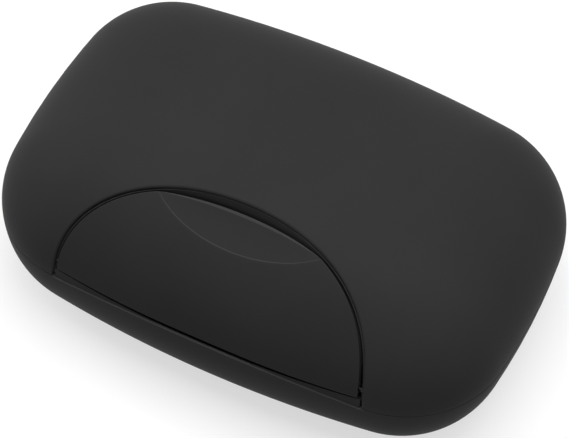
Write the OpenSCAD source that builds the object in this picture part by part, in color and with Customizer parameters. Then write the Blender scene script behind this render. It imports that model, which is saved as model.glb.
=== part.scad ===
// Travel soap box: two pillow-shaped shells hinged at the back, with a domed latch
// let into the front of the lid, a drain tray inside and a sealing ring under the lid.
// Millimetres. Z is up, the latch faces -Y, and the flat bottom stands on Z = 0.

/* [Case] */
// Length of the case at the seam
case_l = 115; // [105:1:125]
// Depth of the case at the seam, front to back
case_w = 78.5; // [76:0.5:84]
// Height of the closed case
case_h = 44; // [42:1:50]
// Height of the seam between the two shells
seam_z = 20; // [19:1:23]
// Wall of both shells
wall = 1.8; // [1.5:0.1:2]
// Corner radius of the outline at the seam
corner_r = 23; // [22:0.5:26]
// Radius to which the two long sides bow out
side_r = 264; // [220:2:340]
// Radius to which the two ends bow out
end_r = 164; // [120:2:240]
// How far the lid's rounded shoulder reaches in from the outline
shoulder_w = 25; // [22:0.5:26]
// How far the base tucks in under the case
tuck_w = 14.2; // [11:0.2:16]
// Rise of the gently crowned top
crown_h = 0.85; // [0.5:0.05:1.5]
// Gap at the seam between the shells
seam_gap = 0.3; // [0.2:0.05:0.5]

/* [Latch] */
// Width of the latch along the case
latch_l = 69.4; // [60:0.2:72]
// Depth of the latch's dome in plan, from its pivot corners to its tip
dome_depth = 19.9; // [18:0.1:21]
// Gap round the latch's sides
latch_side_gap = 0.9; // [0.6:0.1:1.2]
// Gap beyond the latch's tip
latch_tip_gap = 1.1; // [0.8:0.1:1.6]
// Wall of the latch
latch_wall = 1.8; // [1.4:0.1:2]
// Radius of the thumb scoop in the latch's tip
scoop_r = 70; // [60:1:90]
// Depth of the scoop's lowest line below the top of the case
scoop_depth = 4.2; // [3.6:0.1:4.4]
// Height of the latch's pivot above the seam
pivot_rise = 4.5; // [4.2:0.1:4.8]
// Rise of the base's arched sill under the middle of the latch
sill_rise = 2.4; // [1.8:0.1:2.6]
// Radius of the latch's pivot pin
latch_pin_r = 0.5; // [0.4:0.05:0.6]
// Width of the catch tab behind the latch
catch_l = 18; // [12:1:24]

/* [Hinge] */
// Width of the hinge, over all its knuckles
hinge_l = 44; // [36:1:48]
// Width of the lid's middle knuckle
lid_knuckle_l = 27.4; // [20:0.2:30]
// Radius of the knuckles
knuckle_r = 1.6; // [1.5:0.05:1.8]
// Radius of the hinge pin
hinge_pin_r = 0.7; // [0.5:0.05:0.8]

/* [Seal] */
// Width of the sealing ring's section
seal_w = 1.6; // [1.2:0.1:1.8]
// Height of the sealing ring's section
seal_h = 1.4; // [1.2:0.1:1.6]
// Height of the base's upright lip, over its rim
lip_h = 2.55; // [2.2:0.05:2.8]
// Thickness of the lip
lip_t = 1.2; // [1:0.1:1.4]

/* [Drain tray] */
// Thickness of the tray's plate
tray_t = 1.4; // [1.2:0.1:1.8]
// Height of the plate's underside over the floor of the case
tray_rise = 4.2; // [4:0.1:5]
// Height of the raised edge round the plate
tray_edge_h = 3; // [2:0.2:4]
// Number of slot rows
slot_rows = 5; // [3:1:5]
// Number of slots in a row
slots_in_row = 6; // [4:1:7]
// Width of a slot
slot_w = 3; // [2:0.2:3.4]

/* [Hidden] */

$fn = 48;
half_l = case_l / 2;
half_w = case_w / 2;

// Facets of the lofted forms
end_steps = 2;
corner_steps = 10;
side_steps = 4;
lid_steps = 9;
base_steps = 8;
crown_steps = 2;
dome_steps = 32;
roll_steps = 16;

// Height of the lid's elliptical shoulder, which ends level under the crown
shoulder_h = case_h - crown_h - seam_z;

// The corners lose less radius than a plain offset would take, by this much at the shoulder's top
corner_ease = 12;

// Running clearances, and how far cutting shapes reach past the case
pin_fit = 0.05;
part_gap = 0.3;
beyond = 20;

// Rims at the seam
base_top = seam_z - seam_gap / 2;
lid_bottom = seam_z + seam_gap / 2;

// Where the latch starts to curve over, and the exponents of its dome
dome_y = -half_w + 1.4;
dome_side_power = 2.05;
dome_tip_power = 1.55;

// Latch pivot, its roll and its barrel
pivot_y = -half_w + 4.05;
pivot_z = seam_z + pivot_rise;
barrel_wall = 0.8;
barrel_r = latch_pin_r + barrel_wall;
roll_drop = 1;
roll_lift = 0.8;

// Pocket in the lid that the latch lies in
pocket_half = latch_l / 2 + latch_side_gap;
latch_under_gap = 0.45;
pocket_depth = latch_wall + latch_under_gap;
pocket_wall = 1.4;
pocket_side = 1.5;
pin_socket = 1.2;

// Catch tab of the base, and the recess in the pocket that it stands in
catch_gap = 0.4;
catch_front = pivot_y + barrel_r + catch_gap;
catch_t = 1.3;
catch_lean = 0.5;
catch_top = pivot_z + 3.6;
recess_back = catch_front + catch_t + part_gap;
recess_head = 1;
recess_top = catch_top + recess_head;
rib_z = pivot_z + 1.8;
rib_t = 1.2;

// The seal's groove keeps off the wall, and at the front it keeps behind the pocket
groove_margin = 0.4;
groove_land = 0.25;
groove_inset = wall + groove_margin;
seal_setback = half_w + recess_back + pocket_wall + groove_land - groove_inset;
lip_inset = groove_inset + (seal_w - lip_t) / 2;
mouth_inset = lip_inset + lip_t;
ledge_edge = 0.8;
ledge_inset = groove_inset + seal_w + ledge_edge;
lip_top = base_top + lip_h;
seal_rest = 0.1;
seal_z = lip_top + seal_rest;
seal_grip = 0.9;
ledge_t = 2;
rim_t = 1.8;

// The sill stands this far inside the outline, as the lid does at the sill's height
sill_inset = 0.05;

// Back hinge, whose webs reach into the walls as far as the knuckle root
hinge_stand = 0.35;
hinge_y = half_w + knuckle_r + hinge_stand;
hinge_z = seam_z;
knuckle_gap = 0.3;
knuckle_root = 1.3;

// Tray
tray_z = wall + tray_rise;
tray_margin = 5.4;
tray_inset = wall + tray_margin;
tray_play = 0.4;
tray_front = half_w - seal_setback - ledge_inset - tray_play;
tray_edge_t = 1.2;
foot_r = 2.5;
foot_x = 30;
foot_y = 17;
slot_l = 11;
slot_pitch_x = 14;
slot_pitch_y = 9;
grip_rib_h = 1;
grip_rib_w = 1.2;

// Centre of a corner arc of radius r that is tangent to a long side's arc and an end's arc
function corner_centre(w, r) =
    let (
        side_c = [0, w - side_r],
        end_c = [half_l - end_r, 0],
        ra = side_r - r,
        rb = end_r - r,
        d = norm(end_c - side_c),
        along = (ra * ra - rb * rb + d * d) / (2 * d),
        off = sqrt(ra * ra - along * along),
        u = (end_c - side_c) / d
    )
    side_c + along * u + off * [u[1], -u[0]];

// A quarter of the outline, moved in by an inset, stepped by the direction of its outward normal
function quarter(w, inset) =
    let (
        r = corner_r + corner_ease * pow(inset / shoulder_w, 3),
        c = corner_centre(w, r),
        end_a = atan2(c[1], c[0] - half_l + end_r),
        side_a = 90 - atan2(c[0], c[1] - w + side_r),
        angles = [
            for (i = [0 : end_steps - 1]) end_a * i / end_steps,
            for (i = [0 : corner_steps - 1]) end_a + (side_a - end_a) * i / corner_steps,
            for (i = [0 : side_steps]) side_a + (90 - side_a) * i / side_steps
        ]
    )
    [
        for (a = angles)
            let (n = [cos(a), sin(a)])
            a < end_a ? [half_l - end_r, 0] + (end_r - inset) * n
            : a < side_a ? c + (r - inset) * n
            : [0, w - side_r] + (side_r - inset) * n
    ];

// The whole outline, counter-clockwise, with its own half depth at the back and at the front
function outline(back_w, front_w, inset) =
    let (
        b = quarter(back_w, inset),
        f = quarter(front_w, inset),
        n = len(b) - 1
    )
    [
        for (i = [0 : n]) b[i],
        for (i = [n - 1 : -1 : 0]) [-b[i][0], b[i][1]],
        for (i = [1 : n]) [-f[i][0], -f[i][1]],
        for (i = [n - 1 : -1 : 1]) [f[i][0], -f[i][1]]
    ];

// Rise of the crown over a point of the plan, level at the middle and at the outline
function crown(p) =
    crown_h * pow((1 - pow(p[0] / half_l, 2)) * (1 - pow(p[1] / half_w, 2)), 2);

// The lid's surface at a skin depth t, from the seam up to the top of the shoulder
function lid_rings(t) = [
    for (i = [0 : lid_steps])
        let (a = 90 * i / lid_steps)
        [
            for (p = outline(half_w, half_w, t + (shoulder_w - t) * (1 - cos(a))))
                [p[0], p[1], seam_z + (shoulder_h - t + crown(p)) * sin(a)]
        ]
];

// The crowned top, as shrinking copies of the last ring
function crown_rings(last, t) = [
    for (i = [1 : crown_steps])
        let (k = 1 - i / (crown_steps + 1))
        [for (p = last) [p[0] * k, p[1] * k, seam_z + shoulder_h - t + crown(p * k)]]
];

function base_rings(t) = [
    for (i = [base_steps : -1 : 0])
        let (a = 90 * i / base_steps)
        [
            for (p = outline(half_w, half_w, t + (tuck_w - t) * (1 - cos(a))))
                [p[0], p[1], seam_z - (seam_z - t) * sin(a)]
        ]
];

// How far the lid's surface lies inside the outline at height z
function lid_inset(z) =
    shoulder_w * (1 - sqrt(1 - pow((z - seam_z) / shoulder_h, 2)));

// Distance of the bowed front from the latch's pivot axis, at x
function roll_radius(x) =
    pivot_y + sqrt(pow(side_r - lid_inset(pivot_z), 2) - x * x) - side_r + half_w;

// Plan outline of the latch or its pocket: a dome with straight sides below it
function dome(half, depth) = [
    [half, -half_w - beyond],
    for (i = [0 : dome_steps])
        let (a = 180 * i / dome_steps)
        [
            half * sign(cos(a)) * pow(abs(cos(a)), 2 / dome_side_power),
            dome_y + depth * pow(abs(sin(a)), 2 / dome_tip_power)
        ],
    [-half, -half_w - beyond]
];

// Skins a stack of rings, closed flat below and either flat or to a point above
module loft(rings, peak = undef) {
    n = len(rings[0]);
    m = len(rings);
    capped = is_undef(peak);
    points = [for (r = rings) each r, if (!capped) peak];
    sides = [
        for (i = [0 : m - 2], j = [0 : n - 1])
            let (k = (j + 1) % n)
            [i * n + j, (i + 1) * n + j, (i + 1) * n + k, i * n + k]
    ];
    floor_face = [for (j = [0 : n - 1]) j];
    flat_top = [for (j = [n - 1 : -1 : 0]) (m - 1) * n + j];
    fan = [for (j = [0 : n - 1]) [(m - 1) * n + j, m * n, (m - 1) * n + (j + 1) % n]];
    polyhedron(points, concat([floor_face], sides, capped ? [flat_top] : fan), convexity = 6);
}

module lid_form(t) {
    rings = lid_rings(t);
    loft(concat(rings, crown_rings(rings[lid_steps], t)), [0, 0, case_h - t]);
}

module base_form(t) {
    loft(base_rings(t));
}

module slab(low, high) {
    translate([-case_l, -case_w, low])
        cube([2 * case_l, 2 * case_w, high - low]);
}

module along_x(length) {
    translate([-length / 2, 0, 0])
        rotate([90, 0, 90])
            linear_extrude(length)
                children();
}

module rod(r, length, y, z) {
    translate([0, y, z])
        rotate([0, 90, 0])
            cylinder(r = r, h = length, center = true);
}

module seal_line(inset) {
    polygon(outline(half_w, half_w - seal_setback, inset));
}

module dome_column(half, depth, low) {
    translate([0, 0, low])
        linear_extrude(case_h + beyond)
            polygon(dome(half, depth));
}

module scoop(extra) {
    translate([0, -half_w, case_h - scoop_depth + scoop_r])
        rotate([90, 0, 0])
            cylinder(r = scoop_r + extra, h = case_w, center = true, $fn = 180);
}

// Body swept by the bowed front edge as it turns round the latch's pivot
module roll(extra, half) {
    translate([0, pivot_y, pivot_z])
        rotate([0, 90, 0])
            rotate_extrude()
                polygon([
                    [0, -half],
                    for (i = [0 : roll_steps])
                        let (x = half * (2 * i / roll_steps - 1))
                        [roll_radius(x) + extra, x],
                    [0, half]
                ]);
}

// Space left for the catch tab at the foot of the pocket
module catch_recess(extra) {
    translate([-case_l, recess_back - case_w + extra, 0])
        cube([2 * case_l, case_w, recess_top + extra]);
}

// Inside of the pocket's floor at a skin depth t
module pocket_core(t, extra) {
    difference() {
        lid_form(t);
        scoop(pocket_depth + extra);
        catch_recess(extra);
    }
}

module base_knuckles() {
    side_l = (hinge_l - lid_knuckle_l) / 2 - knuckle_gap;
    for (s = [-1, 1])
        translate([s * (hinge_l - side_l) / 2, 0, 0]) {
            rod(knuckle_r, side_l, hinge_y, hinge_z);
            translate([-side_l / 2, half_w - knuckle_root, hinge_z - knuckle_r])
                cube([side_l, hinge_y - half_w + knuckle_root, knuckle_r - seam_gap / 2]);
        }
}

// Walls of the latch's pocket, and the ledge that holds the sealing ring
module lid_lining() {
    intersection() {
        lid_form(wall / 2);
        union() {
            difference() {
                dome_column(
                    pocket_half + pocket_side,
                    dome_depth + latch_tip_gap + pocket_side,
                    lid_bottom
                );
                pocket_core(pocket_depth + pocket_wall, pocket_wall);
            }
            translate([0, 0, seal_z + seal_h - seal_grip])
                linear_extrude(ledge_t)
                    difference() {
                        square([2 * case_l, 2 * case_w], center = true);
                        seal_line(ledge_inset);
                    }
        }
    }
}

module seal_band() {
    translate([0, 0, seal_z])
        linear_extrude(seal_h)
            difference() {
                seal_line(groove_inset);
                seal_line(groove_inset + seal_w);
            }
}

module lid_knuckle() {
    rod(knuckle_r, lid_knuckle_l, hinge_y, hinge_z);
    translate([-lid_knuckle_l / 2, half_w - knuckle_root, lid_bottom])
        cube([lid_knuckle_l, hinge_y - half_w + knuckle_root, knuckle_r - seam_gap / 2]);
}

module catch_tab() {
    along_x(catch_l)
        polygon([
            [catch_front, base_top - rim_t / 2],
            [catch_front, pivot_z],
            [catch_front + catch_lean, catch_top],
            [catch_front + catch_t, catch_top],
            [catch_front + catch_t, base_top - rim_t / 2]
        ]);
}

// Sill that rises in an arch under the latch, hollowed where the latch's foot turns
module sill() {
    arch_r = (pow(latch_l / 2, 2) + pow(sill_rise, 2)) / (2 * sill_rise);
    difference() {
        intersection() {
            translate([0, 0, base_top - rim_t])
                linear_extrude(rim_t + sill_rise)
                    difference() {
                        polygon(outline(half_w, half_w, sill_inset));
                        polygon(outline(half_w, half_w, wall));
                    }
            translate([-latch_l / 2, -case_w, 0])
                cube([latch_l, case_w / 2, case_h]);
            translate([0, 0, base_top + sill_rise - arch_r])
                rotate([90, 0, 0])
                    cylinder(r = arch_r, h = case_w, $fn = 720);
        }
        roll(part_gap, pocket_half);
    }
}

module base() {
    color([0.09, 0.09, 0.1])
        difference() {
            union() {
                difference() {
                    base_form(0);
                    base_form(wall);
                    slab(base_top, case_h);
                }
                // Rim inside the seam
                intersection() {
                    base_form(wall / 2);
                    translate([0, 0, base_top - rim_t])
                        linear_extrude(rim_t)
                            difference() {
                                square([2 * case_l, 2 * case_w], center = true);
                                seal_line(mouth_inset);
                            }
                }
                base_knuckles();
            }
            rod(hinge_pin_r + pin_fit, case_l, hinge_y, hinge_z);
        }
    color([0.09, 0.09, 0.1]) {
        sill();
        catch_tab();
        translate([0, 0, base_top - rim_t])
            linear_extrude(rim_t + lip_h)
                difference() {
                    seal_line(lip_inset);
                    seal_line(mouth_inset);
                }
    }
}

module lid() {
    color([0.1, 0.1, 0.11])
        difference() {
            union() {
                difference() {
                    lid_form(0);
                    lid_form(wall);
                    slab(0, lid_bottom);
                }
                lid_lining();
                lid_knuckle();
            }
            difference() {
                dome_column(pocket_half, dome_depth + latch_tip_gap, 0);
                pocket_core(pocket_depth, 0);
            }
            seal_band();
            rod(hinge_pin_r + pin_fit, hinge_l, hinge_y, hinge_z);
            rod(latch_pin_r, 2 * (pocket_half + pin_socket), pivot_y, pivot_z);
        }
}

module latch() {
    skin_back = pivot_y - roll_radius(0) + latch_wall;
    color([0.09, 0.09, 0.1])
        difference() {
            intersection() {
                dome_column(latch_l / 2, dome_depth, 0);
                union() {
                    difference() {
                        lid_form(0);
                        slab(0, pivot_z);
                        scoop(0);
                        difference() {
                            lid_form(latch_wall);
                            scoop(latch_wall);
                        }
                    }
                    // Rolled foot that joins the skin to the barrel
                    intersection() {
                        roll(0, latch_l / 2);
                        translate([-case_l, pivot_y - case_w, pivot_z - roll_drop])
                            cube([2 * case_l, case_w, roll_drop + roll_lift]);
                    }
                    rod(barrel_r, latch_l, pivot_y, pivot_z);
                    // Rib that presses on the catch tab
                    translate([-catch_l / 2, skin_back - latch_wall / 2, rib_z])
                        cube([catch_l, catch_front - part_gap - skin_back + latch_wall / 2, rib_t]);
                }
            }
            rod(latch_pin_r + pin_fit, case_l, pivot_y, pivot_z);
        }
}

module tray_slot() {
    square([slot_l - slot_w, slot_w], center = true);
    for (s = [-1, 1])
        translate([s * (slot_l - slot_w) / 2, 0])
            circle(d = slot_w, $fn = 24);
}

module tray_plan(inset) {
    polygon(outline(half_w, tray_front + tray_inset, tray_inset + inset));
}

module drain_tray() {
    color([0.16, 0.16, 0.17]) {
        translate([0, 0, tray_z])
            linear_extrude(tray_t)
                difference() {
                    tray_plan(0);
                    for (i = [0 : slots_in_row - 1], j = [0 : slot_rows - 1])
                        translate([
                            (i - (slots_in_row - 1) / 2) * slot_pitch_x,
                            (j - (slot_rows - 1) / 2) * slot_pitch_y
                        ])
                            tray_slot();
                }
        translate([0, 0, tray_z])
            linear_extrude(tray_t + tray_edge_h)
                difference() {
                    tray_plan(0);
                    tray_plan(tray_edge_t);
                }
        // Ribs that hold the soap off the plate, between the rows of slots
        for (j = [0 : slot_rows])
            translate([
                -(slots_in_row * slot_pitch_x - slot_w) / 2,
                (j - slot_rows / 2) * slot_pitch_y - grip_rib_w / 2,
                tray_z + tray_t / 2
            ])
                cube([slots_in_row * slot_pitch_x - slot_w, grip_rib_w, tray_t / 2 + grip_rib_h]);
        for (sx = [-1, 1], sy = [-1, 1])
            translate([sx * foot_x, sy * foot_y, wall + pin_fit])
                cylinder(r = foot_r, h = tray_rise + tray_t / 2);
    }
}

module seal_ring() {
    color([0.55, 0.56, 0.58])
        seal_band();
}

module lid_hinge_pin() {
    color([0.72, 0.72, 0.74])
        rod(hinge_pin_r, hinge_l, hinge_y, hinge_z);
}

module latch_pin() {
    color([0.14, 0.14, 0.15])
        rod(latch_pin_r, 2 * (pocket_half + pin_socket), pivot_y, pivot_z);
}

base();
lid();
latch();
drain_tray();
seal_ring();
lid_hinge_pin();
latch_pin();
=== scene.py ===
"""Travel soap box: finer skins over the CAD model, their materials, the light and the camera."""

import math

import bmesh
import bpy
import numpy as np
from mathutils import Matrix, Vector


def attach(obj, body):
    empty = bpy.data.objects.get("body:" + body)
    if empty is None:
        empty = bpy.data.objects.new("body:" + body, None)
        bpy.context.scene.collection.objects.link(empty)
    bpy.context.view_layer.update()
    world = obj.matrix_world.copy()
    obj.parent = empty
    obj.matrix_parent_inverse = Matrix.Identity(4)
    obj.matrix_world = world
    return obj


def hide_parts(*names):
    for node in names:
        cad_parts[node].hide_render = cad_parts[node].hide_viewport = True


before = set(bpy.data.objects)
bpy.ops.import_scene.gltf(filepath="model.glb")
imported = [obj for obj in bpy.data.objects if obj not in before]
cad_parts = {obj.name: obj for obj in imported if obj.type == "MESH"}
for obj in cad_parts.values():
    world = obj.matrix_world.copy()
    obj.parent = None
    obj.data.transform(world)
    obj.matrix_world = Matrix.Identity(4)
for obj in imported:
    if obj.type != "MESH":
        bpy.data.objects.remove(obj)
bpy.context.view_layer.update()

MM = 0.001

# Sizes in millimetres, as in the CAD model

CASE_L = 115.0
CASE_W = 78.5
CASE_H = 44.0
SEAM_Z = 20.0
SEAM_GAP = 0.3
WALL = 1.8
CORNER_R = 23.0
CORNER_EASE = 12.0
SIDE_R = 264.0
END_R = 164.0
SHOULDER_W = 25.0
CROWN_H = 0.85
TUCK_W = 14.2
PART_GAP = 0.3

HALF_L = CASE_L / 2
HALF_W = CASE_W / 2
SHOULDER_H = CASE_H - CROWN_H - SEAM_Z
BASE_TOP = SEAM_Z - SEAM_GAP / 2
LID_BOTTOM = SEAM_Z + SEAM_GAP / 2

LATCH_HALF = 34.7
LATCH_WALL = 1.8
LATCH_UNDER_GAP = 0.45
DOME_Y = 1.4 - HALF_W
DOME_SIDE = 2 / 2.05
DOME_TIP = 2 / 1.55
PIVOT_Y = 4.05 - HALF_W
PIVOT_Z = SEAM_Z + 4.5
BARREL_R = 1.3
ROLL_DROP = 1.0
ROLL_LIFT = 0.8

POCKET_GAP = 0.9
POCKET_WALL = 1.4
POCKET_SIDE = 1.5
POCKET_HALF = LATCH_HALF + POCKET_GAP
POCKET_DEPTH = LATCH_WALL + LATCH_UNDER_GAP

CATCH_GAP = 0.4
CATCH_T = 1.3
CATCH_HALF = 9.0
CATCH_LEAN = 0.5
CATCH_FRONT = PIVOT_Y + BARREL_R + CATCH_GAP
CATCH_TOP = PIVOT_Z + 3.6
RECESS_HEAD = 1.0
RECESS_BACK = CATCH_FRONT + CATCH_T + PART_GAP
RECESS_TOP = CATCH_TOP + RECESS_HEAD
RIB_Z = PIVOT_Z + 1.8
RIB_T = 1.2

GROOVE_MARGIN = 0.4
GROOVE_LAND = 0.25
GROOVE_W = 1.6
LEDGE_EDGE = 0.8
LEDGE_T = 2.0
LIP_GAP = 0.2
LIP_T = 1.2
LIP_H = 2.55
SEAL_REST = 0.1
SEAL_H = 1.4
SEAL_PROUD = 0.5
RIM_T = 1.8
GROOVE_INSET = WALL + GROOVE_MARGIN
LIP_INSET = GROOVE_INSET + LIP_GAP
MOUTH_INSET = LIP_INSET + LIP_T
LEDGE_INSET = GROOVE_INSET + GROOVE_W + LEDGE_EDGE
FRONT_SETBACK = HALF_W + RECESS_BACK + POCKET_WALL + GROOVE_LAND - GROOVE_INSET
LIP_TOP = BASE_TOP + LIP_H
SEAL_Z = LIP_TOP + SEAL_REST

KNUCKLE_R = 1.6
HINGE_STAND = 0.35
HINGE_Y = HALF_W + HINGE_STAND + KNUCKLE_R
HINGE_HALF = 22.0
LID_KNUCKLE_HALF = 13.7

# Sizes in millimetres of forms that are finer than the CAD's, or fitted closer to the photograph

DOME_DEPTH = 20.1
POCKET_TIP = DOME_DEPTH + POCKET_GAP
HOLE_GAP = 0.45
HOLE_HALF = LATCH_HALF + HOLE_GAP
HOLE_TIP = DOME_DEPTH + HOLE_GAP
HOLE_R = 0.6
OVERLAP = 0.02
LEAST_WALL_H = 0.6

SCOOP_R = 95.0
SCOOP_Z = CASE_H - 3.7
SCOOP_Y = -24.0
SCOOP_TILT = 0.08
SCOOP_LOWEST = PIVOT_Z + 10
SCOOP_BLEND = 0.3

SILL_RISE = 2.6
ARCH_R = (LATCH_HALF ** 2 + SILL_RISE ** 2) / (2 * SILL_RISE)
SILL_EDGE_R = 0.3
SILL_INNER_R = 0.15
SILL_THINNED = 0.2
COVE_DEPTH = 0.6
COVE_SIDE_GAP = 0.05

FOOT_Z = 23.15
FOOT_R = 0.3
FOOT_RELIEF = 0.4
FOOT_RELIEF_W = 14.0
SWEEP_GAP = 0.2
EDGE_R = 0.2
LATCH_EDGE_R = 0.45
LIP_EDGE = 0.2
CATCH_EDGE_R = 0.25
RIB_EDGE_R = 0.2
WEB_EDGE_R = 0.05
ROD_EDGE = 0.15

# How far the hinge's webs reach into the walls, and small allowances inside the skins

LID_ROOT = 1.0
BASE_ROOT = 1.3
LEDGE_CLEAR = 1.0
RECESS_SEARCH = 4.0
SEARCH_STEP = 0.1
LEAST_BED_T = 0.1
INNER_LIFT = 0.05
BARREL_REACH_LOW = -0.78
BARREL_REACH_HIGH = 0.7

# How finely the skins are divided

HALVINGS = 32
ROD_SIDES = 40
CORNER_STEPS = 3
EDGE_STEPS = 6
HOLE_STEPS = 120
HOLE_FAN = math.radians(60)
NEAR_TOP_V = 1.98
LEAST_COLUMN_V = 0.004
FOOT_STEPS = 8
BARREL_STEPS = 30
TOP_STEPS = 64
INNER_TOP_STEPS = 40
LATCH_STEPS = 150
RIM_STEPS = 4
SCOOP_STEPS = 24
FACE_STEPS = 66
CROWDING = 1.8
TUCK_STEPS = 34
INNER_TUCK_STEPS = 24
FRONT_STEPS = 6
SILL_STEPS = 60
SILL_ROUND_STEPS = 5
SILL_INNER_STEPS = 8
COVE_STEPS = 10

# Meshes: points nearer than this are one, edges shorter than this go, and creases over this show

SAME_POINT = 0.004
NO_LENGTH = 0.003
SHARP_ANGLE = 35


# Outline of the case

def corner_radius(inset):
    """Radius of the corner arc, before the inset is taken off."""
    return CORNER_R + CORNER_EASE * (inset / SHOULDER_W) ** 3


def corner(half_w, r):
    """Centre of the corner arc of radius r, and the normal directions where it starts and ends."""
    side_y = half_w - SIDE_R
    end_x = HALF_L - END_R
    ra = SIDE_R - r
    rb = END_R - r
    d = math.hypot(end_x, side_y)
    along = (ra * ra - rb * rb + d * d) / (2 * d)
    off = math.sqrt(ra * ra - along * along)
    ux = end_x / d
    uy = -side_y / d
    x = along * ux + off * uy
    y = side_y + along * uy - off * ux
    return x, y, math.atan2(y, x - end_x), math.atan2(y - side_y, x)


def outline_point(phi, inset, front_w=HALF_W):
    """Point of the outline, moved in by inset, whose outward normal has direction phi."""
    nx = math.cos(phi)
    ny = math.sin(phi)
    half_w = HALF_W if ny >= 0 else front_w
    a = math.atan2(abs(ny), abs(nx))
    r = corner_radius(inset)
    cx, cy, end_a, side_a = corner(half_w, r)
    if a < end_a:
        x = HALF_L - END_R + (END_R - inset) * abs(nx)
        y = (END_R - inset) * abs(ny)
    elif a < side_a:
        x = cx + (r - inset) * abs(nx)
        y = cy + (r - inset) * abs(ny)
    else:
        x = (SIDE_R - inset) * abs(nx)
        y = half_w - SIDE_R + (SIDE_R - inset) * abs(ny)
    return math.copysign(x, nx), math.copysign(y, ny)


def outline_find(x, y):
    """Inset of the outline that passes through a point of the plan, and its normal's direction."""
    px = abs(x)
    py = abs(y)
    low = 0.0
    high = SHOULDER_W
    for _ in range(HALVINGS):
        inset = (low + high) / 2
        r = corner_radius(inset)
        cx, cy, end_a, side_a = corner(HALF_W, r)
        a = math.atan2(py - cy, px - cx)
        if a > side_a:
            a = math.atan2(py - HALF_W + SIDE_R, px)
            depth = SIDE_R - math.hypot(px, py - HALF_W + SIDE_R)
        elif a < end_a:
            a = math.atan2(py, px - HALF_L + END_R)
            depth = END_R - math.hypot(px - HALF_L + END_R, py)
        else:
            depth = r - math.hypot(px - cx, py - cy)
        if depth > inset:
            low = inset
        else:
            high = inset
    return inset, math.atan2(math.copysign(math.sin(a), y), math.copysign(math.cos(a), x))


def seal_point(phi, inset):
    """Point of the seal's outline, which is set back at the front to clear the latch."""
    return outline_point(phi, inset, HALF_W - FRONT_SETBACK)


def even_angles(start, stop, side_n, corner_n, end_n):
    """Normal directions from start to stop, finely spaced where the outline turns fast."""
    _, _, end_a, side_a = corner(HALF_W, CORNER_R)
    marks = []
    for k in range(-1, 3):
        middle = k * math.pi
        marks += [
            (middle - end_a, end_n), (middle + end_a, corner_n),
            (middle + side_a, side_n), (middle + math.pi - side_a, corner_n),
        ]
    angles = []
    for (a, n), (b, _) in zip(marks, marks[1:]):
        angles += [a + (b - a) * i / n for i in range(n)]
    return [start] + [a for a in angles if start + 1e-4 < a < stop - 1e-4] + [stop]


# Surface of the lid: v runs 0 to 1 up the shoulder and 1 to 2 over the crown

def crown(x, y):
    """How much the top is domed over a point of the plan."""
    return CROWN_H * ((1 - (x / HALF_L) ** 2) * (1 - (y / HALF_W) ** 2)) ** 2


def lid_point(phi, v, t=0.0):
    """Point of the lid at skin depth t."""
    s = min(v, 1.0) * math.pi / 2
    x, y = outline_point(phi, t + (SHOULDER_W - t) * (1 - math.cos(s)))
    k = min(2 - v, 1.0)
    x *= k
    y *= k
    return np.array([x, y, SEAM_Z + (SHOULDER_H - t + crown(x, y)) * math.sin(s)])


def lid_v(z):
    """The v at which the shoulder has height z."""
    return math.asin(max(z - SEAM_Z, 0) / SHOULDER_H) * 2 / math.pi


def lid_find(x, y, t=0.0):
    """The phi and v of the shoulder's point, at skin depth t, that lies over x, y."""
    inset, phi = outline_find(x, y)
    share = min(max(inset - t, 0.0) / (SHOULDER_W - t), 1.0)
    return phi, math.acos(1 - share) * 2 / math.pi


def lid_height(x, y, t=0.0):
    """Height of the lid at skin depth t over a point of the plan."""
    phi, v = lid_find(x, y, t)
    return SEAM_Z + (SHOULDER_H - t + crown(x, y)) * math.sin(v * math.pi / 2)


def scoop_height(x, extra=0.0):
    """Height of the thumb scoop at x, sunk by extra."""
    r = SCOOP_R + extra
    return SCOOP_Z + SCOOP_R - math.sqrt(r * r - x * x)


def soft_min(a, b, k):
    """The lower of a and b, blended over a band of about k."""
    h = max(k - abs(a - b), 0.0) / k
    return min(a, b) - h * h * k / 4


def dome_point(half, depth, a):
    """Point of the dome-shaped plan of latch and pocket, at angle a from its right end."""
    c = math.cos(a)
    s = max(math.sin(a), 0.0)
    return np.array([
        half * math.copysign(abs(c) ** DOME_SIDE, c),
        DOME_Y + depth * s ** DOME_TIP,
    ])


def dome_reach(half, depth, x):
    """How far back the dome reaches at x."""
    u = min(abs(x) / half, 1.0)
    return DOME_Y + depth * (1 - u ** (2 / DOME_SIDE)) ** (DOME_TIP / 2)


def dome_half(half, depth, y):
    """How far out the dome reaches at y."""
    u = min(max(y - DOME_Y, 0.0) / depth, 1.0)
    return half * (1 - u ** (2 / DOME_TIP)) ** (DOME_SIDE / 2)


def shoulder_inset(z):
    """How far the shoulder has drawn in at height z."""
    return SHOULDER_W * (1 - math.sqrt(1 - (max(z - SEAM_Z, 0) / SHOULDER_H) ** 2))


def case_front(x, z):
    """The lid's front surface at x and height z."""
    return SIDE_R - HALF_W - math.sqrt((SIDE_R - shoulder_inset(z)) ** 2 - x * x)


def latch_inner_y(x):
    """The flap's inner face at the pivot's height."""
    return case_front(x, PIVOT_Z) + LATCH_WALL


def foot_edge(x):
    """Height of the latch's lower edge, which is relieved over the middle of the sill."""
    return FOOT_Z + FOOT_RELIEF * math.exp(-(x / FOOT_RELIEF_W) ** 2)


def sweep_radius(x):
    """Room that the latch's lower edge needs about the pivot."""
    z = foot_edge(x)
    return math.hypot(PIVOT_Y - case_front(x, z), PIVOT_Z - z) + SWEEP_GAP


def sill_top(x):
    """Height of the base's front rim, which arches up under the latch."""
    if abs(x) >= LATCH_HALF:
        return BASE_TOP
    return BASE_TOP + SILL_RISE - ARCH_R + math.sqrt(ARCH_R ** 2 - x * x)


# Meshes

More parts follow.
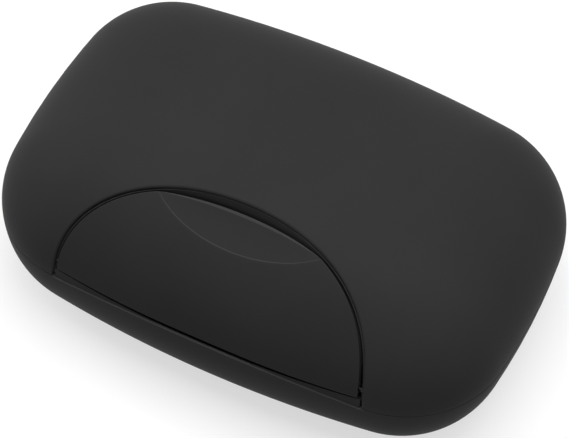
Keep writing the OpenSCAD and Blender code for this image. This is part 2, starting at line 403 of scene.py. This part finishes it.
class Skin:
    """Collects strips of quads and makes one mesh of them, with a lighter plastic on chosen faces as painted
    highlights and painted light.
    """

    def __init__(self):
        self.points = []
        self.faces = []
        self.painted_light_faces = set()

    def grid(self, rows, closed_u=False, closed_v=False, painted_light_faces=()):
        """rows[i][j]: a row for each step along, with closed_u joining the last row to the first."""
        start = len(self.points)
        n = len(rows)
        m = len(rows[0])
        for row in rows:
            self.points.extend(tuple(p) for p in row)
        for i in range(n if closed_u else n - 1):
            for j in range(m if closed_v else m - 1):
                a = start + i * m + j
                b = start + i * m + (j + 1) % m
                c = start + (i + 1) % n * m + (j + 1) % m
                d = start + (i + 1) % n * m + j
                if j in painted_light_faces:
                    self.painted_light_faces.add(len(self.faces))
                self.faces.append((a, b, c, d))

    def cap(self, row):
        """One face that closes a row."""
        start = len(self.points)
        self.points.extend(tuple(p) for p in row)
        self.faces.append(tuple(range(start, start + len(row))))

    def swept(self, sections, painted_light_faces=()):
        """A solid through closed sections, with both ends capped."""
        self.grid(sections, closed_v=True, painted_light_faces=painted_light_faces)
        self.cap(sections[0])
        self.cap(sections[-1])

    def rod(self, r, x0, x1, y, z):
        """A round bar along X with chamfered ends."""
        turns = [2 * math.pi * i / ROD_SIDES for i in range(ROD_SIDES)]
        stops = [(x0, r - ROD_EDGE), (x0 + ROD_EDGE, r), (x1 - ROD_EDGE, r), (x1, r - ROD_EDGE)]
        self.swept([[(x, y + q * math.cos(a), z + q * math.sin(a)) for a in turns] for x, q in stops])

    def make(self, name, body, slot, material, *nodes):
        """One mesh object that rides on a body and takes the place of CAD nodes."""
        mesh = bpy.data.meshes.new(name)
        bm = bmesh.new()
        verts = [bm.verts.new(Vector(p) * MM) for p in self.points]
        for i, face in enumerate(self.faces):
            bm.faces.new([verts[j] for j in face]).material_index = int(i in self.painted_light_faces)
        bmesh.ops.remove_doubles(bm, verts=bm.verts, dist=SAME_POINT * MM)
        bmesh.ops.dissolve_degenerate(bm, edges=bm.edges, dist=NO_LENGTH * MM)
        bmesh.ops.recalc_face_normals(bm, faces=bm.faces)
        bm.to_mesh(mesh)
        bm.free()
        mesh.shade_smooth()
        mesh.set_sharp_from_angle(angle=math.radians(SHARP_ANGLE))
        obj = bpy.data.objects.new(name, mesh)
        bpy.context.scene.collection.objects.link(obj)
        obj.data.materials.append(material)
        # The second slot holds the lighter plastic: painted highlights on edges and painted light on shaded
        # faces
        obj.data.materials.append(painted_light_plastic)
        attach(obj, body)
        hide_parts(*nodes)


def arc(centre_y, centre_z, r, start, stop, n):
    """Points of an arc in the YZ plane; angles in degrees, 0 along +Y and 90 along +Z."""
    return [
        (
            centre_y + r * math.cos(math.radians(start + (stop - start) * i / n)),
            centre_z + r * math.sin(math.radians(start + (stop - start) * i / n)),
        )
        for i in range(n + 1)
    ]


def round_corner(before, tip, after, r):
    """A polygon's corner, rounded with a curve that starts and ends r from its tip."""
    c = np.array(tip, float)
    to_before = np.array(before, float) - c
    to_after = np.array(after, float) - c
    p = c + to_before / np.linalg.norm(to_before) * r
    q = c + to_after / np.linalg.norm(to_after) * r
    shares = np.linspace(0, 1, CORNER_STEPS + 1)
    return [tuple((1 - t) ** 2 * p + 2 * t * (1 - t) * c + t * t * q) for t in shares]


def rounded(polygon, r):
    """The polygon with all its corners rounded."""
    out = []
    n = len(polygon)
    for i in range(n):
        out += round_corner(polygon[i - 1], polygon[i], polygon[(i + 1) % n], r)
    return out


def bar(skin, polygon, x0, x1, r):
    """A YZ polygon swept along X, with rounded corners and softened ends."""

    def at(x, shrink):
        pts = np.array(rounded(polygon, r))
        mid = pts.mean(axis=0)
        size = np.abs(pts - mid).max()
        pts = mid + (pts - mid) * (1 - shrink / size)
        return [(x, y, z) for y, z in pts]

    skin.swept([at(x0, r), at(x0 + r, 0), at(x1 - r, 0), at(x1, r)])


def rim_frames(points, normals, closed):
    """At each point of an edge line: the direction in the surface that points off the edge."""
    n = len(points)
    out = []
    for i in range(n):
        a = points[(i - 1) % n] if closed or i > 0 else points[i]
        b = points[(i + 1) % n] if closed or i < n - 1 else points[i]
        along = b - a
        side = np.cross(along, normals[i])
        out.append(side / np.linalg.norm(side))
    return out


def surface_normal(point, u, v):
    """Outward unit normal of a surface point(u, v), by small steps."""
    step = 1e-3
    du = point(u + step, v) - point(u - step, v)
    dv = point(u, v + step) - point(u, v - step)
    n = np.cross(du, dv)
    return n / np.linalg.norm(n)


def toward_top(phi, v, phi_top, t, steps):
    """Points of the lid's skin from near its edge to the top's middle, fanning out to phi_top."""
    out = []
    for j in range(1, steps):
        f = j / steps
        x, y, z = lid_point(phi + (phi_top - phi) * f, v + (2 - v) * f, t)
        out.append((x, y, max(z, LID_BOTTOM)))
    return out


def hole_start(half, depth, seam_v):
    """Angle of the dome-shaped hole at which its edge leaves the lid's lower edge."""
    low = 0.0
    high = 0.5
    for _ in range(HALVINGS):
        start = (low + high) / 2
        _, v = lid_find(*dome_point(half, depth, start))
        if v < seam_v:
            low = start
        else:
            high = start
    return start


def lid_columns():
    """Where each line of the lid starts and ends: its phi, v, phi at the top, and if it is at the hole."""
    half = HOLE_HALF + HOLE_R
    depth = HOLE_TIP + HOLE_R
    seam_v = lid_v(LID_BOTTOM + EDGE_R)
    start = hole_start(half, depth, seam_v)
    right, _ = lid_find(*dome_point(half, depth, start))
    left = math.pi - right
    columns = []
    for phi in even_angles(right, left, side_n=16, corner_n=30, end_n=5):
        top = HOLE_FAN - math.pi / 2 + (2 * math.pi - 2 * HOLE_FAN) * (phi - right) / (left - right)
        columns.append((phi, seam_v, top, False))
    for i in range(1, HOLE_STEPS):
        a = start + (math.pi - 2 * start) * (1 - i / HOLE_STEPS)
        phi, v = lid_find(*dome_point(half, depth, a))
        top = 1.5 * math.pi - HOLE_FAN + 2 * HOLE_FAN * i / HOLE_STEPS
        columns.append((phi if phi > 0 else phi + 2 * math.pi, v, top, True))
    return columns


def lid_shell(skin):
    """The lid's wall: lines from the top's middle out to its edge, or the hole's, and back inside."""
    columns = lid_columns()
    edge = [lid_point(phi, v) for phi, v, _, _ in columns]
    normals = [surface_normal(lid_point, phi, min(v, NEAR_TOP_V)) for phi, v, _, _ in columns]
    off = rim_frames(edge, normals, closed=True)
    rows = []
    for (phi, v, top, at_hole), p, n, side in zip(columns, edge, normals, off):
        row = list(reversed(toward_top(phi, v, top, 0.0, TOP_STEPS)))
        r = HOLE_R if at_hole else EDGE_R
        for k in range(EDGE_STEPS + 1):
            a = math.pi / 2 * k / EDGE_STEPS
            row.append(p + r * (math.sin(a) * side - (1 - math.cos(a)) * n))
        if at_hole:
            x, y, _ = row[-1]
            inner_phi, v = lid_find(x, y, WALL)
            inner_phi = phi - math.remainder(phi - inner_phi, 2 * math.pi)
        else:
            x, y = outline_point(phi, WALL)
            inner_phi = phi
            v = 0.0
        row.append((x, y, max(lid_height(x, y, WALL), LID_BOTTOM)))
        row += toward_top(inner_phi, v, top, WALL, INNER_TOP_STEPS)
        rows.append(row)
    skin.grid(rows, closed_u=True)
    skin.cap([row[0] for row in rows])
    skin.cap([row[-1] for row in rows])


def pocket_floor(x, y, extra=0.0):
    """Height of the pocket's floor, or of its underside with extra."""
    return min(
        lid_height(x, y, POCKET_DEPTH + extra),
        scoop_height(x, POCKET_DEPTH + extra),
    )


def pocket_wall(skin):
    """Wall round the latch's pocket, down from the hole's edge."""
    steps = 96
    sections = []
    for i in range(steps + 1):
        a = math.pi * i / steps
        x, y = dome_point(HOLE_HALF + OVERLAP, HOLE_TIP + OVERLAP, a)
        nx, ny = dome_point(POCKET_HALF + POCKET_SIDE, POCKET_TIP + POCKET_SIDE, a)
        y = max(y, case_front(x, SEAM_Z) + WALL / 2)
        ny = max(ny, y)
        top = max(lid_height(x, y, WALL / 2), LID_BOTTOM + LEAST_WALL_H)
        low = LID_BOTTOM if y < RECESS_BACK else pocket_floor(x, y) - POCKET_WALL / 2
        sections.append([(x, y, low), (x, y, top), (nx, ny, top), (nx, ny, low)])
    # The whole wall takes the lighter plastic: painted light that lifts the pocket's shade
    skin.swept(sections, painted_light_faces=range(4))


def pocket_bed(skin):
    """Floor of the pocket, the recess for the catch tab, and their backing."""
    half = POCKET_HALF + POCKET_SIDE
    wall_back = RECESS_BACK + POCKET_WALL
    columns = 72
    steps = 24
    rows = []
    for i in range(columns + 1):
        x = -half + 2 * half * i / columns
        back = max(dome_reach(half, POCKET_TIP + POCKET_SIDE, x), wall_back)
        front = RECESS_BACK - RECESS_SEARCH
        while front < RECESS_BACK and pocket_floor(x, front) < RECESS_TOP:
            front += SEARCH_STEP
        front = min(front, RECESS_BACK)
        row = []
        for j in range(steps + 1):
            y = back + (front - back) * j / steps
            row.append((x, y, max(pocket_floor(x, y), RECESS_TOP)))
        row += [(x, RECESS_BACK, RECESS_TOP), (x, RECESS_BACK, LID_BOTTOM), (x, wall_back, LID_BOTTOM)]
        for j in range(steps + 1):
            y = wall_back + (back - wall_back) * j / steps
            low = max(pocket_floor(x, y, POCKET_WALL), RECESS_TOP + POCKET_WALL)
            row.append((x, y, min(low, pocket_floor(x, y) - LEAST_BED_T)))
        rows.append(row)
    skin.swept(rows)


def ring_band(skin, section):
    """A closed band round the case: section(phi) gives its points."""
    phis = even_angles(0, 2 * math.pi, side_n=14, corner_n=22, end_n=4)[:-1]
    skin.grid([section(phi) for phi in phis], closed_u=True, closed_v=True)


def lid_ledge(skin):
    """Ledge inside the lid, with the groove of the sealing ring."""
    low = SEAL_Z + SEAL_PROUD
    high = low + LEDGE_T
    roof = SEAL_Z + SEAL_H

    def section(phi):
        wall_p = outline_point(phi, WALL / 2 + shoulder_inset(high))
        if abs(wall_p[0]) < POCKET_HALF + LEDGE_CLEAR and wall_p[1] < 0:
            wall_p = np.array([wall_p[0], RECESS_BACK + POCKET_WALL / 2])
        a = seal_point(phi, GROOVE_INSET)
        b = seal_point(phi, GROOVE_INSET + GROOVE_W)
        c = seal_point(phi, LEDGE_INSET)
        return [
            (*wall_p, low), (*a, low), (*a, roof), (*b, roof), (*b, low), (*c, low),
            (*c, high), (*wall_p, high),
        ]

    ring_band(skin, section)


def make_lid(material):
    """The upper shell with the latch's pocket, the seal's ledge and the middle hinge knuckle."""
    skin = Skin()
    lid_shell(skin)
    pocket_wall(skin)
    pocket_bed(skin)
    lid_ledge(skin)
    skin.rod(KNUCKLE_R, -LID_KNUCKLE_HALF, LID_KNUCKLE_HALF, HINGE_Y, SEAM_Z)
    bar(skin, [
        (HALF_W - LID_ROOT, LID_BOTTOM), (HINGE_Y, LID_BOTTOM), (HINGE_Y, SEAM_Z + KNUCKLE_R),
        (HALF_W - LID_ROOT, SEAM_Z + KNUCKLE_R),
    ], -LID_KNUCKLE_HALF, LID_KNUCKLE_HALF, WEB_EDGE_R)
    skin.make("lid_shell", "lid", "lid", material, "lid")


def tilted_scoop(p, t):
    """Height of the thumb scoop over a point, at skin depth t."""
    return scoop_height(p[0], t) + SCOOP_TILT * (p[1] - SCOOP_Y)


def latch_point(phi, v, t=0.0):
    """The lid's surface with the thumb scoop taken out of it."""
    p = lid_point(phi, v, t)
    if p[2] > SCOOP_LOWEST:
        p[2] = soft_min(p[2], tilted_scoop(p, t), SCOOP_BLEND)
    return p


def scoop_v(phi, low, high, t=0.0):
    """Where the skin meets the scoop along a column, or the column's end."""
    for _ in range(HALVINGS):
        v = (low + high) / 2
        p = lid_point(phi, v, t)
        if p[2] < tilted_scoop(p, t):
            low = v
        else:
            high = v
    return v


def latch_rows(phi, top_v, low_v, t=0.0):
    """Points down a column of the skin, close together on both sides of the scoop's edge."""
    meet = scoop_v(phi, low_v, top_v, t)
    vs = [top_v + (meet - top_v) * (1 - (1 - j / SCOOP_STEPS) ** CROWDING) for j in range(SCOOP_STEPS)]
    vs += [meet + (low_v - meet) * (j / FACE_STEPS) ** CROWDING for j in range(FACE_STEPS + 1)]
    return [latch_point(phi, v, t) for v in vs]


def latch_foot(x):
    """The skin below the pivot, its rounded edge and the barrel, round to the inner face."""
    low = foot_edge(x) + FOOT_R
    line = []
    for j in range(1, FOOT_STEPS + 1):
        z = PIVOT_Z + (low - PIVOT_Z) * j / FOOT_STEPS
        line.append((case_front(x, z), z))
    line += arc(line[-1][0] + FOOT_R, low, FOOT_R, 180, 265, 6)[1:]
    meet = 180 + math.degrees(math.asin(ROLL_DROP / BARREL_R))
    reach = (latch_inner_y(x) - PIVOT_Y) / BARREL_R
    turn = 360 + math.degrees(math.acos(min(max(reach, BARREL_REACH_LOW), BARREL_REACH_HIGH)))
    line += arc(PIVOT_Y, PIVOT_Z, BARREL_R, meet, turn, BARREL_STEPS)
    half = LATCH_HALF - LATCH_EDGE_R
    depth = DOME_DEPTH - LATCH_EDGE_R
    return [(math.copysign(min(abs(x), dome_half(half, depth, y)), x), y, z) for y, z in line]


def make_latch(material):
    """The flap as closed sections along X: skin, rolled foot, barrel and inner face."""
    skin = Skin()
    low_v = lid_v(PIVOT_Z)
    columns = []
    for i in range(LATCH_STEPS + 1):
        a = math.pi * (1 - i / LATCH_STEPS)
        x, y = dome_point(LATCH_HALF - LATCH_EDGE_R, DOME_DEPTH - LATCH_EDGE_R, a)
        phi, v = lid_find(x, y)
        columns.append((phi, max(v, low_v + LEAST_COLUMN_V)))
    edge = [latch_point(phi, v) for phi, v in columns]
    normals = [surface_normal(latch_point, phi, v) for phi, v in columns]
    off = rim_frames(edge, normals, closed=False)
    sections = []
    for (phi, top_v), p, n, side in zip(columns, edge, normals, off):
        outer = latch_rows(phi, top_v, low_v)
        inner = latch_rows(phi, top_v, low_v, LATCH_WALL)
        rim = []
        for k in range(RIM_STEPS, 0, -1):
            a = math.pi / 2 * k / RIM_STEPS
            rim.append(p + LATCH_EDGE_R * (math.sin(a) * side - (1 - math.cos(a)) * n))
        back = rim[0] - (LATCH_WALL - 2 * LATCH_EDGE_R) * n
        foot = latch_foot(outer[-1][0])
        floor = max(PIVOT_Z + ROLL_LIFT, foot[-1][2]) + INNER_LIFT
        up = [q if q[2] > floor else np.array([q[0], q[1], floor]) for q in reversed(inner)]
        sections.append(rim + outer + foot + up + [back])
    # The rounded rim and the scoop's edge take the lighter plastic, as painted highlights along these edges
    edge_row = RIM_STEPS + SCOOP_STEPS
    skin.swept(sections, painted_light_faces=[*range(1, RIM_STEPS + 1), *range(edge_row - 2, edge_row + 3)])
    # Rib that presses on the catch tab
    root = latch_inner_y(0) - LATCH_WALL / 2
    bar(skin, [
        (root, RIB_Z), (CATCH_FRONT - PART_GAP, RIB_Z),
        (CATCH_FRONT - PART_GAP, RIB_Z + RIB_T), (root, RIB_Z + RIB_T),
    ], -CATCH_HALF, CATCH_HALF, RIB_EDGE_R)
    skin.make("latch_flap", "latch", "latch", material, "latch")


def base_point(phi, s, t=0.0):
    """Point of the base at skin depth t, with s from 0 at the seam to a quarter turn at the underside."""
    inset = t + (TUCK_W - t) * (1 - math.cos(s))
    x, y = outline_point(phi, inset)
    return np.array([x, y, SEAM_Z - (SEAM_Z - t) * math.sin(s)])


def base_front(phi, z, t):
    """Point of the base's wall at height z and skin depth t, upright above the seam."""
    if z > SEAM_Z - t:
        x, y = outline_point(phi, t)
        return x, y, z
    return base_point(phi, math.asin((SEAM_Z - z) / (SEAM_Z - t)), t)


def sill_inner(x, y, z):
    """The sill's inner face, hollowed where the latch's foot turns."""
    r = sweep_radius(min(abs(x), POCKET_HALF))
    drop = PIVOT_Z - z
    if abs(x) > LATCH_HALF or drop > r:
        return y
    return min(y, PIVOT_Y - math.sqrt(r * r - drop * drop))


def base_shell(skin):
    """The base's wall: lines from the underside up over the rim and down to the floor."""
    end_a = math.asin(LATCH_HALF / SIDE_R)
    right = -math.pi / 2 + end_a
    left = 1.5 * math.pi - end_a
    phis = even_angles(right, left, side_n=16, corner_n=26, end_n=6)
    phis += [left + 2 * end_a * i / SILL_STEPS for i in range(1, SILL_STEPS)]
    r = SILL_EDGE_R
    band_low = BASE_TOP - 2 * r
    rows = []
    for phi in phis:
        x, y = outline_point(phi, 0)
        rim = sill_top(x) if y < 0 else BASE_TOP
        row = [base_point(phi, math.pi / 2 * (1 - j / TUCK_STEPS)) for j in range(TUCK_STEPS)]
        for j in range(FRONT_STEPS + 1):
            row.append(base_front(phi, band_low + (rim - r - band_low) * j / FRONT_STEPS, 0))
        for k in range(1, SILL_ROUND_STEPS + 1):
            a = math.pi / 2 * k / SILL_ROUND_STEPS
            row.append(base_front(phi, rim - r + r * math.sin(a), r * (1 - math.cos(a))))
        for j in range(SILL_INNER_STEPS + 1):
            z = rim - SILL_INNER_R - (rim - BASE_TOP) * j / SILL_INNER_STEPS
            x, y, _ = base_front(phi, z, WALL - SILL_THINNED)
            inner_y = sill_inner(x, y, z)
            if j == 0:
                row.append((x, inner_y - SILL_INNER_R if y < 0 else y, rim))
            row.append((x, inner_y, z))
        for j in range(2, INNER_TUCK_STEPS + 1):
            row.append(base_point(phi, math.pi / 2 * j / INNER_TUCK_STEPS, WALL))
        rows.append(row)
    # The rim's rounded top edge takes the lighter plastic: a painted highlight along it
    edge_row = TUCK_STEPS + FRONT_STEPS + 1
    skin.grid(rows, closed_u=True, painted_light_faces=range(edge_row, edge_row + SILL_ROUND_STEPS + 1))
    skin.cap([row[0] for row in rows])
    skin.cap([row[-1] for row in rows])


def sill_cove(skin):
    """Cove behind the sill's edge, that rises to just under the latch's foot."""
    sections = []
    half = LATCH_HALF - COVE_SIDE_GAP
    steps = 90
    for i in range(steps + 1):
        x = -half + 2 * half * i / steps
        front = case_front(x, SEAM_Z)
        low = sill_top(x)
        r = sweep_radius(x)
        reach = PIVOT_Y - front - COVE_DEPTH
        high = max(PIVOT_Z - math.sqrt(r * r - reach * reach), low)
        start = front + SILL_EDGE_R
        root = low - SILL_EDGE_R
        ring = [(x, start, root)]
        for j in range(COVE_STEPS + 1):
            f = j / COVE_STEPS
            y = start + (COVE_DEPTH - SILL_EDGE_R) * f
            ring.append((x, y, low - OVERLAP + (high - low) * f ** 1.5))
        for j in range(1, SILL_INNER_STEPS + 1):
            z = high + (root - high) * j / SILL_INNER_STEPS
            ring.append((x, sill_inner(x, front + WALL - SILL_THINNED, z), z))
        sections.append(ring)
    skin.swept(sections)


def base_rim(skin):
    """Flange inside the seam, with the upright lip that meets the sealing ring."""
    low = BASE_TOP - RIM_T

    def section(phi):
        wall_p = outline_point(phi, WALL / 2)
        a = seal_point(phi, LIP_INSET)
        b = seal_point(phi, MOUTH_INSET)
        a_top = seal_point(phi, LIP_INSET + LIP_EDGE)
        b_top = seal_point(phi, MOUTH_INSET - LIP_EDGE)
        return [
            (*wall_p, low), (*wall_p, BASE_TOP), (*a, BASE_TOP), (*a, LIP_TOP - LIP_EDGE), (*a_top, LIP_TOP),
            (*b_top, LIP_TOP), (*b, LIP_TOP - LIP_EDGE), (*b, low),
        ]

    ring_band(skin, section)


def make_base(material):
    """The lower shell with its rim and lip, the arched sill, the catch tab and the outer knuckles."""
    skin = Skin()
    base_shell(skin)
    base_rim(skin)
    sill_cove(skin)
    foot = BASE_TOP - RIM_T / 2
    bar(skin, [
        (CATCH_FRONT, foot), (CATCH_FRONT, PIVOT_Z), (CATCH_FRONT + CATCH_LEAN, CATCH_TOP),
        (CATCH_FRONT + CATCH_T, CATCH_TOP), (CATCH_FRONT + CATCH_T, foot),
    ], -CATCH_HALF, CATCH_HALF, CATCH_EDGE_R)
    for side in (-1, 1):
        x0, x1 = sorted((side * (LID_KNUCKLE_HALF + PART_GAP), side * HINGE_HALF))
        skin.rod(KNUCKLE_R, x0, x1, HINGE_Y, SEAM_Z)
        bar(skin, [
            (HALF_W - BASE_ROOT, BASE_TOP), (HINGE_Y, BASE_TOP), (HINGE_Y, SEAM_Z - KNUCKLE_R),
            (HALF_W - BASE_ROOT, SEAM_Z - KNUCKLE_R),
        ], x0, x1, WEB_EDGE_R)
    skin.make("base_shell", "base", "base", material, "base")


# Materials

def new_material(name, colour, roughness, metallic=0.0):
    """A material, its nodes and links, and its shader with the values set."""
    m = bpy.data.materials.new(name)
    m.use_nodes = True
    shader = m.node_tree.nodes["Principled BSDF"]
    shader.inputs["Base Color"].default_value = (*colour, 1)
    shader.inputs["Roughness"].default_value = roughness
    shader.inputs["Metallic"].default_value = metallic
    return m, m.node_tree.nodes, m.node_tree.links, shader


def moulded_plastic(name, colour):
    """Matt moulded plastic: a spark-eroded grain, faint flow marks and slightly uneven sheen."""
    m, nodes, links, shader = new_material(name, colour, 0.5)
    shader.inputs["Specular IOR Level"].default_value = 0.025
    coords = nodes.new("ShaderNodeTexCoord")
    fine = nodes.new("ShaderNodeTexNoise")
    fine.inputs["Scale"].default_value = 5200
    fine.inputs["Detail"].default_value = 3
    broad = nodes.new("ShaderNodeTexNoise")
    broad.inputs["Scale"].default_value = 38
    broad.inputs["Detail"].default_value = 4
    for tex in (fine, broad):
        links.new(coords.outputs["Object"], tex.inputs["Vector"])
    tone = nodes.new("ShaderNodeValToRGB")
    tone.color_ramp.elements[0].position = 0.3
    tone.color_ramp.elements[1].position = 0.7
    for element, shade in zip(tone.color_ramp.elements, (0.94, 1.06)):
        element.color = (*[c * shade for c in colour], 1)
    links.new(broad.outputs["Fac"], tone.inputs["Fac"])
    links.new(tone.outputs["Color"], shader.inputs["Base Color"])
    sheen = nodes.new("ShaderNodeMapRange")
    sheen.inputs["To Min"].default_value = 0.48
    sheen.inputs["To Max"].default_value = 0.56
    links.new(broad.outputs["Fac"], sheen.inputs["Value"])
    links.new(sheen.outputs["Result"], shader.inputs["Roughness"])
    bump = nodes.new("ShaderNodeBump")
    bump.inputs["Strength"].default_value = 0.12
    bump.inputs["Distance"].default_value = 0.04 * MM
    links.new(fine.outputs["Fac"], bump.inputs["Height"])
    links.new(bump.outputs["Normal"], shader.inputs["Normal"])
    shader.inputs["IOR"].default_value = 1.46
    return m


def soft_silicone():
    """Grey sealing ring, a little translucent and dusty."""
    m, nodes, links, shader = new_material("seal_silicone", (0.55, 0.56, 0.57), 0.42)
    shader.inputs["Subsurface Weight"].default_value = 0.25
    shader.inputs["Subsurface Radius"].default_value = (MM, MM, MM)
    coords = nodes.new("ShaderNodeTexCoord")
    dust = nodes.new("ShaderNodeTexNoise")
    dust.inputs["Scale"].default_value = 900
    links.new(coords.outputs["Object"], dust.inputs["Vector"])
    tone = nodes.new("ShaderNodeValToRGB")
    tone.color_ramp.elements[0].color = (0.5, 0.51, 0.52, 1)
    tone.color_ramp.elements[1].color = (0.6, 0.61, 0.62, 1)
    links.new(dust.outputs["Fac"], tone.inputs["Fac"])
    links.new(tone.outputs["Color"], shader.inputs["Base Color"])
    return m


def drawn_steel(name, colour):
    """Pin with fine lines along its length."""
    m, nodes, links, shader = new_material(name, colour, 0.3, 1.0)
    coords = nodes.new("ShaderNodeTexCoord")
    stretch = nodes.new("ShaderNodeMapping")
    stretch.inputs["Scale"].default_value = (60, 9000, 9000)
    links.new(coords.outputs["Object"], stretch.inputs["Vector"])
    lines = nodes.new("ShaderNodeTexNoise")
    links.new(stretch.outputs["Vector"], lines.inputs["Vector"])
    sheen = nodes.new("ShaderNodeMapRange")
    sheen.inputs["To Min"].default_value = 0.22
    sheen.inputs["To Max"].default_value = 0.42
    links.new(lines.outputs["Fac"], sheen.inputs["Value"])
    links.new(sheen.outputs["Result"], shader.inputs["Roughness"])
    return m


shell_plastic = moulded_plastic("shell_plastic", (0.03, 0.03, 0.0305))
flap_plastic = moulded_plastic("flap_plastic", (0.0265, 0.0265, 0.027))
# Lighter plastic for painted highlights along edges and painted light that lifts shaded walls
painted_light_plastic = moulded_plastic("painted_light_plastic", (0.052, 0.052, 0.053))
tray_plastic = moulded_plastic("tray_plastic", (0.035, 0.035, 0.036))

make_lid(shell_plastic)
make_base(shell_plastic)
make_latch(flap_plastic)

plain = {
    "drain_tray": tray_plastic,
    "seal_ring": soft_silicone(),
    "lid_hinge_pin": drawn_steel("pin_steel", (0.62, 0.62, 0.64)),
    "latch_pin": drawn_steel("black_steel", (0.02, 0.02, 0.021)),
}
for node, material in plain.items():
    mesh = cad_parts[node].data
    mesh.materials.clear()
    mesh.materials.append(material)


# Floor, backdrop and light: direction and power of each soft lamp, and the light from all round

LAMPS = {
    "top": ((0, 0, 1), 5.7),
    "left": ((-0.85, 0, 0.5), 2.6),
    "back_right": ((0.6, 0.5, 0.6), 1.6),
}
LAMP_DISTANCE = 0.9
LAMP_SIZE = 0.6
AMBIENT = 0.34
FLOOR_LIFT = 0.62
FLOOR_HALF = 3.0
FLOOR_DROP = 0.2


def area_light(name, toward, power):
    """A square lamp that shines on the case from the direction toward."""
    data = bpy.data.lights.new(name, "AREA")
    data.size = LAMP_SIZE
    data.energy = power
    lamp = bpy.data.objects.new(name, data)
    lamp.location = toward * LAMP_DISTANCE + Vector((0, 0, SEAM_Z * MM))
    lamp.rotation_euler = toward.to_track_quat("Z", "Y").to_euler()
    bpy.context.scene.collection.objects.link(lamp)


def seen_rays(nodes, links):
    """1 on rays that show the background: the camera's own, reflected and passed through."""
    path = nodes.new("ShaderNodeLightPath")
    ray = path.outputs["Is Camera Ray"]
    for kind in ("Is Glossy Ray", "Is Transmission Ray"):
        either = nodes.new("ShaderNodeMath")
        either.operation = "MAXIMUM"
        links.new(ray, either.inputs[0])
        links.new(path.outputs[kind], either.inputs[1])
        ray = either.outputs["Value"]
    return ray


def white_floor():
    """A pale floor that keeps the case's shadow and is lifted to white where it is seen."""
    mesh = bpy.data.meshes.new("floor")
    corners = [(x * FLOOR_HALF, y * FLOOR_HALF, 0) for x, y in ((-1, -1), (1, -1), (1, 1), (-1, 1))]
    mesh.from_pydata(corners, [], [(0, 1, 2, 3)])
    floor = bpy.data.objects.new("floor", mesh)
    floor.location.z = -FLOOR_DROP * MM
    bpy.context.scene.collection.objects.link(floor)
    m, nodes, links, shader = new_material("floor_pale", (0.4, 0.4, 0.4), 0.9)
    shader.inputs["Specular IOR Level"].default_value = 0.0
    shader.inputs["Emission Color"].default_value = (1, 1, 1, 1)
    lift = nodes.new("ShaderNodeMapRange")
    lift.inputs["To Max"].default_value = FLOOR_LIFT
    links.new(seen_rays(nodes, links), lift.inputs["Value"])
    links.new(lift.outputs["Result"], shader.inputs["Emission Strength"])
    mesh.materials.append(m)


def set_world():
    """White where it is seen, and a dim even light on everything."""
    world = bpy.data.worlds.new("studio")
    bpy.context.scene.world = world
    world.use_nodes = True
    nodes = world.node_tree.nodes
    links = world.node_tree.links
    background = nodes["Background"]
    background.inputs["Color"].default_value = (1, 1, 1, 1)
    level = nodes.new("ShaderNodeMapRange")
    level.inputs["To Min"].default_value = AMBIENT
    level.inputs["To Max"].default_value = 1.0
    links.new(seen_rays(nodes, links), level.inputs["Value"])
    links.new(level.outputs["Result"], background.inputs["Strength"])


# The camera, fitted to the photograph's outline

PHOTO_W = 569
FOCAL_LENGTH_PX = 2512.5
SENSOR_W = 36
CAMERA_AZIMUTH = 23.73
CAMERA_ELEVATION = 54.47
CAMERA_ROLL = 2.9
CAMERA_DISTANCE = 529.0
CAMERA_AIM = (1.056, -1.876, 20)


def set_camera():
    """The camera that sees the case as the photograph does."""
    azimuth = math.radians(CAMERA_AZIMUTH)
    elevation = math.radians(CAMERA_ELEVATION)
    roll = math.radians(CAMERA_ROLL)
    back = Vector((
        math.sin(azimuth) * math.cos(elevation),
        -math.cos(azimuth) * math.cos(elevation),
        math.sin(elevation),
    ))
    level_right = Vector((math.cos(azimuth), math.sin(azimuth), 0))
    level_up = back.cross(level_right)
    right = math.cos(roll) * level_right + math.sin(roll) * level_up
    up = math.cos(roll) * level_up - math.sin(roll) * level_right
    data = bpy.data.cameras.new("camera")
    data.lens = FOCAL_LENGTH_PX * SENSOR_W / PHOTO_W
    data.clip_start = 0.01
    camera = bpy.data.objects.new("camera", data)
    place = (Vector(CAMERA_AIM) + back * CAMERA_DISTANCE) * MM
    camera.matrix_world = Matrix((
        (right.x, up.x, back.x, place.x),
        (right.y, up.y, back.y, place.y),
        (right.z, up.z, back.z, place.z),
        (0, 0, 0, 1),
    ))
    bpy.context.scene.collection.objects.link(camera)
    bpy.context.scene.camera = camera


white_floor()
set_world()
set_camera()
for name, (toward, power) in LAMPS.items():
    area_light(name, Vector(toward).normalized(), power)
bpy.context.scene.view_settings.view_transform = "Standard"
